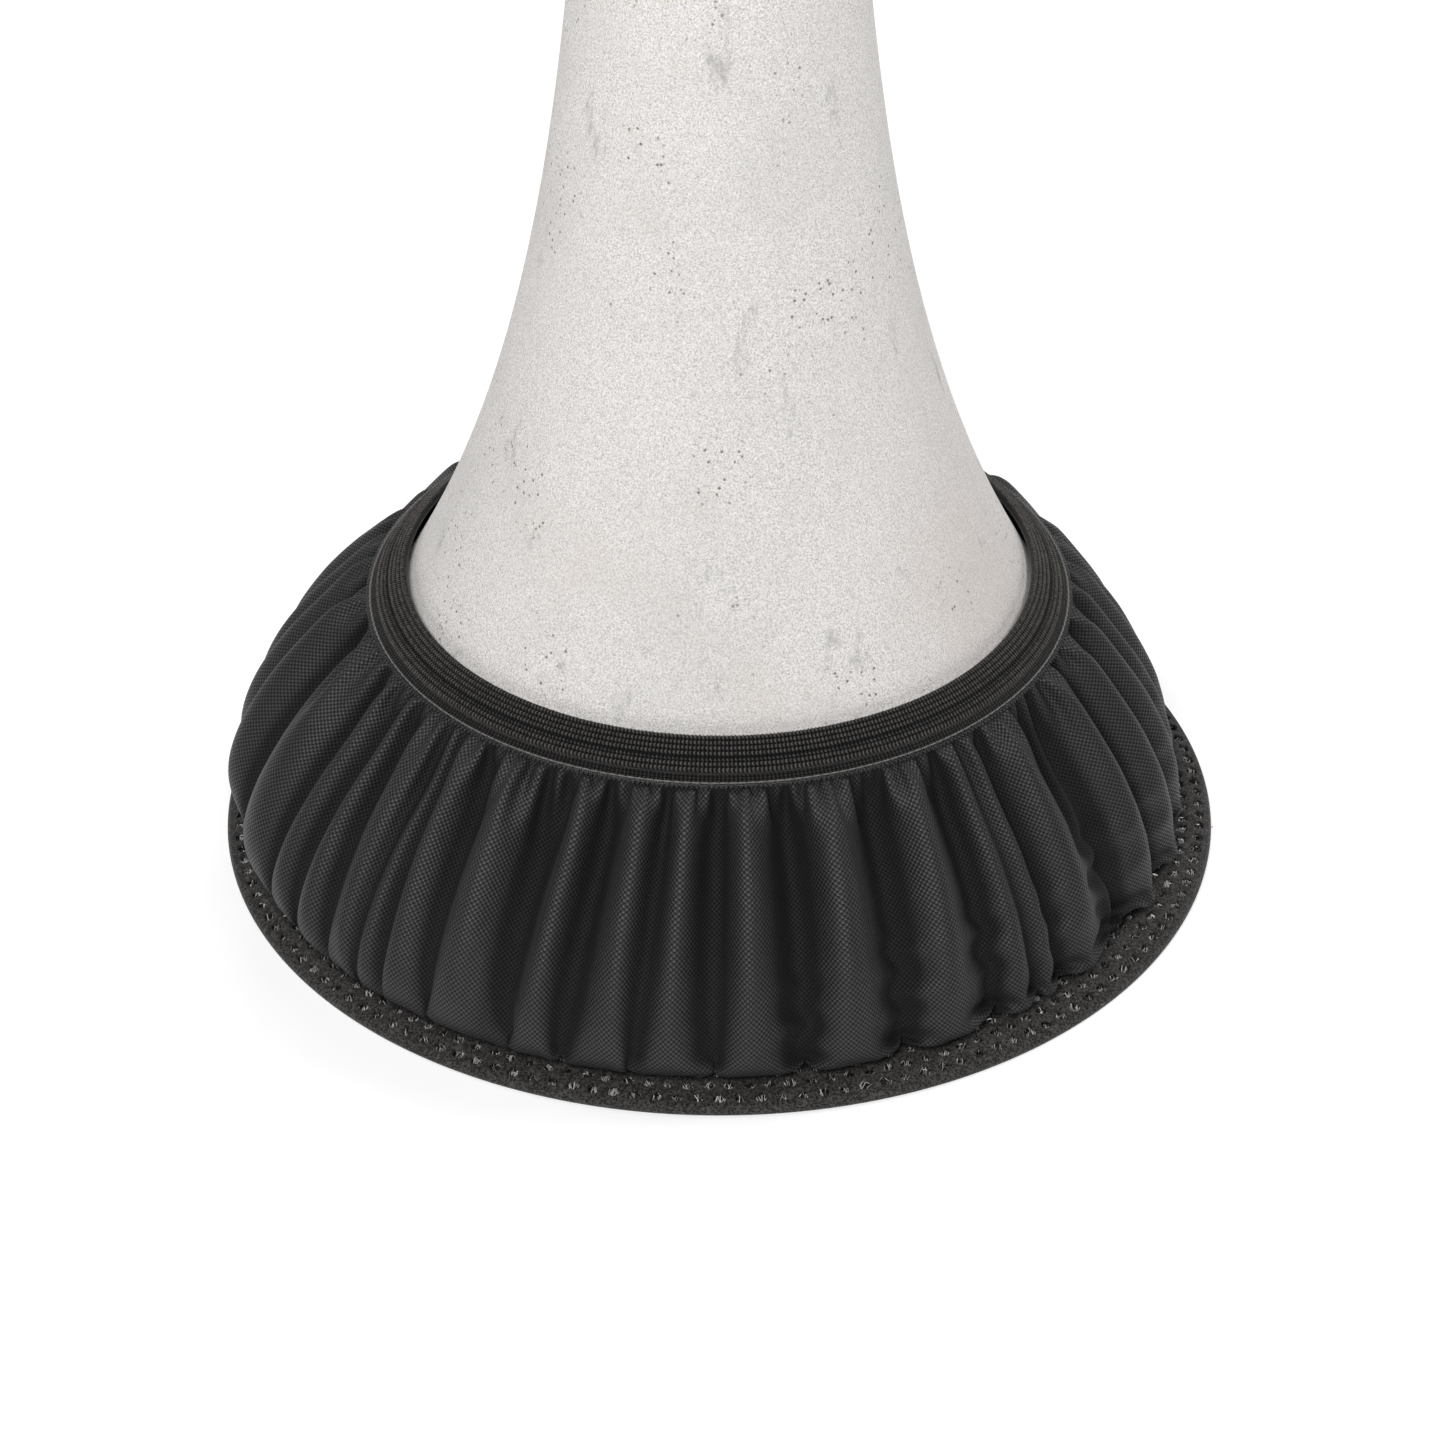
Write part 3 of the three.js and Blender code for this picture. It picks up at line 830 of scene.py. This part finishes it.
def make_heading(pale, black):
    """The strip that holds the gathers, with its three rows of stitches."""
    top, low = on_band(-0.2), on_band(-0.4 - HEADING_WIDTH)
    strip = knit_strip("gathered_heading_strip", low, top, 0.7, stitches=560, courses=3, depth=0.3)
    dress(strip, "skirt", knit_material("heading_knit", 0.45), "nylon", "gathered_heading")
    thread = stitched_ring(
        "pale_gathering_thread", low[0] + 0.55, low[1] + 0.55, stitches=250, thread=0.22, dip=0.35,
    )
    dress(thread, "skirt", pale, "pale_thread", "gathering_thread")
    loops = stitched_ring(
        "overlock_loops", low[0] + 1.0, low[1] + 0.1, stitches=480, thread=0.16, dip=0.3, zigzag=0.75,
    )
    dress(loops, "skirt", black, "black_thread")
    upper = stitched_ring(
        "heading_stitches", top[0] + 0.3, top[1] + 0.35, stitches=540, thread=0.18, dip=0.3,
    )
    dress(upper, "skirt", black, "black_thread", "heading_thread")


def make_band_lap(knit, black):
    """The elastic's end, lapped over its beginning at the back and tacked down with a zigzag."""
    out = outward(np.array([BAND_LOW, BAND_TOP], float))[0]
    lift = BAND_THICKNESS / 2 + LAP_THICKNESS / 2 + 0.3
    low, top = np.array(BAND_LOW) + lift * out, np.array(BAND_TOP) + lift * out
    radius = (low[0] + top[0]) / 2
    lap = knit_strip(
        "elastic_lap", low, top, LAP_THICKNESS,
        stitches=17, courses=8, depth=0.35, span=LAP_LENGTH / radius,
    )
    dress(lap, "skirt", knit, "knit_elastic", "band_lap")
    zigs, margin = 7, 1.2
    zig = np.arange(zigs * STITCH_POINTS + 1) / STITCH_POINTS
    across = TACK_WIDTH * (np.abs(zig % 2 - 1) - 0.5)
    along = margin + (math.dist(low, top) - 2 * margin) * zig / zigs
    seat = low + (top - low) / math.dist(low, top) * along[:, None] + out * (LAP_THICKNESS / 2 + 0.6)
    line = polar(seat[:, 0], across / radius, seat[:, 1])
    tack = thread_loop("band_tack_thread", line, 0.3, closed=False)
    dress(tack, "skirt", black, "black_thread", "band_tack_stitch")


def grid_normals(points):
    """Outward unit normals of a closed grid of points."""
    around = np.roll(points, -1, 1) - np.roll(points, 1, 1)
    down = np.gradient(points, axis=0)
    normal = np.cross(down, around)
    return normal / np.linalg.norm(normal, axis=2)[..., None]


def make_back_seam(cloth, nylon, black):
    """The panel's two ends, sewn together at the back: stitches outside, folded cloth inside."""
    normal = grid_normals(cloth)
    columns = np.arange(-2, 3)
    inside = cloth[2:-2, columns] - 0.7 * normal[2:-2, columns]
    allowance = make_grid("back_seam_fold", inside, 2 * SEAM_ALLOWANCE, PANEL_LENGTH, closed=False)
    dress(allowance, "skirt", nylon, "nylon", "back_seam_allowance")
    line = cloth[2:-2, 0] + 0.25 * normal[2:-2, 0]
    t = np.linspace(0, len(line) - 1, BACK_SEAM_STITCHES * STITCH_POINTS)
    line = np.stack([np.interp(t, np.arange(len(line)), line[:, k]) for k in range(3)], 1)
    arch = np.abs(np.sin(np.arange(len(t)) * math.pi / STITCH_POINTS))
    line += 0.25 * (arch[:, None] - 1) * normal[2:-2, 0].mean(0)
    thread = thread_loop("back_seam_thread", line, 0.12 + 0.14 * arch, closed=False)
    dress(thread, "skirt", black, "black_thread", "back_seam_stitch")


def make_hem(nylon, black):
    """The panel's lower edge, turned under on the rim, and the stitches that hold it there."""
    low = RIM_THICKNESS + 0.3
    section = [(SEAM_RADIUS - 0.6, low + 0.9), (SEAM_RADIUS, low + 0.55), (SEAM_RADIUS + 0.1, low + 0.2)]
    section += [(SEAM_RADIUS - 0.4, low), (SEAM_RADIUS - HEM_WIDTH, low)]
    section += [(SEAM_RADIUS - HEM_WIDTH, low + 0.3), (SEAM_RADIUS - 1.2, low + 0.45), section[0]]
    dress(ring_grid("skirt_hem_fold", section), "skirt", nylon, "nylon", "skirt_hem")
    thread = stitched_ring(
        "hem_stitches", SEAM_RADIUS + 0.35, low + 0.45, stitches=270, thread=0.22, dip=0.4, zigzag=0.25,
    )
    dress(thread, "skirt", black, "black_thread", "hem_thread")


def make_binding(nylon):
    """The tape sewn over the rim's inner edge."""
    low, high = RIM_THICKNESS + 0.3, RIM_THICKNESS + 0.9
    inner, outer = RIM_INNER_RADIUS, RIM_INNER_RADIUS + BINDING_WIDTH
    section = [(inner, low), (outer, low), (outer + 0.1, low + 0.3), (outer - 0.3, high)]
    section += [(inner + 0.3, high), (inner, low + 0.3), (inner, low)]
    dress(ring_grid("mesh_binding_tape", section), "skirt", nylon, "nylon", "mesh_binding")


def paint_valley_shade(panel, cloth):
    """Tells the panel's material how far each point lies inside the skirt's smoothed outline,
    so that it can paint shade into the valleys between the folds.
    """
    radius = np.hypot(cloth[..., 0], cloth[..., 1])
    waves = np.fft.rfft(radius, axis=1)
    waves[:, TUCKS // 4 :] = 0
    inward = np.fft.irfft(waves, COLUMNS, axis=1) - radius
    depth = np.clip(0.3 + inward / VALLEY_SHADE_DEPTH, 0, 1)
    painted_valley_shade = panel.data.attributes.new("painted_valley_shade", "FLOAT", "POINT")
    painted_valley_shade.data.foreach_set("value", depth.astype(np.float32).ravel())


def make_panel(nylon):
    """The gathered panel, drawn in along its seam at the back. Gives back its points."""
    cloth = settle_panel()
    normal = grid_normals(cloth)
    from_seam = np.minimum(np.arange(COLUMNS), COLUMNS - np.arange(COLUMNS))
    cloth -= 0.5 * np.exp(-((from_seam / 0.8) ** 2))[None, :, None] * normal
    panel = make_grid("skirt_cloth", cloth, PANEL_WIDTH, PANEL_LENGTH)
    paint_valley_shade(panel, cloth)
    subdivide = panel.modifiers.new("smooth", "SUBSURF")
    subdivide.levels = subdivide.render_levels = 1
    subdivide.boundary_smooth = "PRESERVE_CORNERS"
    dress(panel, "skirt", nylon, "nylon", "skirt_panel")
    return cloth


# ---------------------------------------------------------------- floor, lights, camera


def make_floor():
    """A plain white table, reaching the same way out on every side."""
    reach = 4000
    corners = [(-reach, -reach, 0), (reach, -reach, 0), (reach, reach, 0), (-reach, reach, 0)]
    floor = make_mesh("floor", corners, [(0, 1, 2, 3)])
    white = Nodes("white_table").surface(
        (0.65, 0.65, 0.65), 0.6, Emission_Color=(1, 1, 1, 1), Emission_Strength=FLOOR_GLOW,
    )
    floor.data.materials.append(white)


def add_light(name, place, target, size, power):
    """A square lamp that faces its target."""
    data = bpy.data.lights.new(name, "AREA")
    data.shape = "SQUARE"
    data.size = size
    data.energy = power
    light = bpy.data.objects.new(name, data)
    light.location = place
    light.rotation_euler = (Vector(target) - Vector(place)).to_track_quat("-Z", "Y").to_euler()
    bpy.context.scene.collection.objects.link(light)


def make_world(strength):
    """Even white light from all round."""
    world = bpy.data.worlds.new("studio")
    bpy.context.scene.world = world
    world.use_nodes = True
    background = world.node_tree.nodes["Background"]
    background.inputs["Color"].default_value = (1, 1, 1, 1)
    background.inputs["Strength"].default_value = strength


def make_camera():
    """The camera, in front of the part and looking down at it."""
    elevation = math.radians(CAMERA_ELEVATION)
    data = bpy.data.cameras.new("camera")
    data.lens = CAMERA_LENS
    data.sensor_width = 36
    camera = bpy.data.objects.new("camera", data)
    away = Vector((0, -math.cos(elevation), math.sin(elevation)))
    camera.location = Vector(CAMERA_TARGET) + CAMERA_DISTANCE * away
    camera.rotation_euler = (-away).to_track_quat("-Z", "Y").to_euler()
    bpy.context.scene.collection.objects.link(camera)
    bpy.context.scene.camera = camera


# ---------------------------------------------------------------- the object

nylon = nylon_material()
black = thread_material("black_thread", (0.012, 0.012, 0.012))
pale = thread_material("pale_thread", (0.16, 0.155, 0.148))
knit = knit_material()
make_tube()
make_band(knit)
make_band_lap(knit, black)
make_heading(pale, black)
cloth = make_panel(nylon)
make_back_seam(cloth, nylon, black)
make_hem(nylon, black)
make_binding(nylon)
make_rim(mesh_material())

make_floor()
make_world(WORLD_STRENGTH)
for light in LIGHTS:
    add_light(*light)
make_camera()
bpy.context.scene.view_settings.view_transform = "Standard"
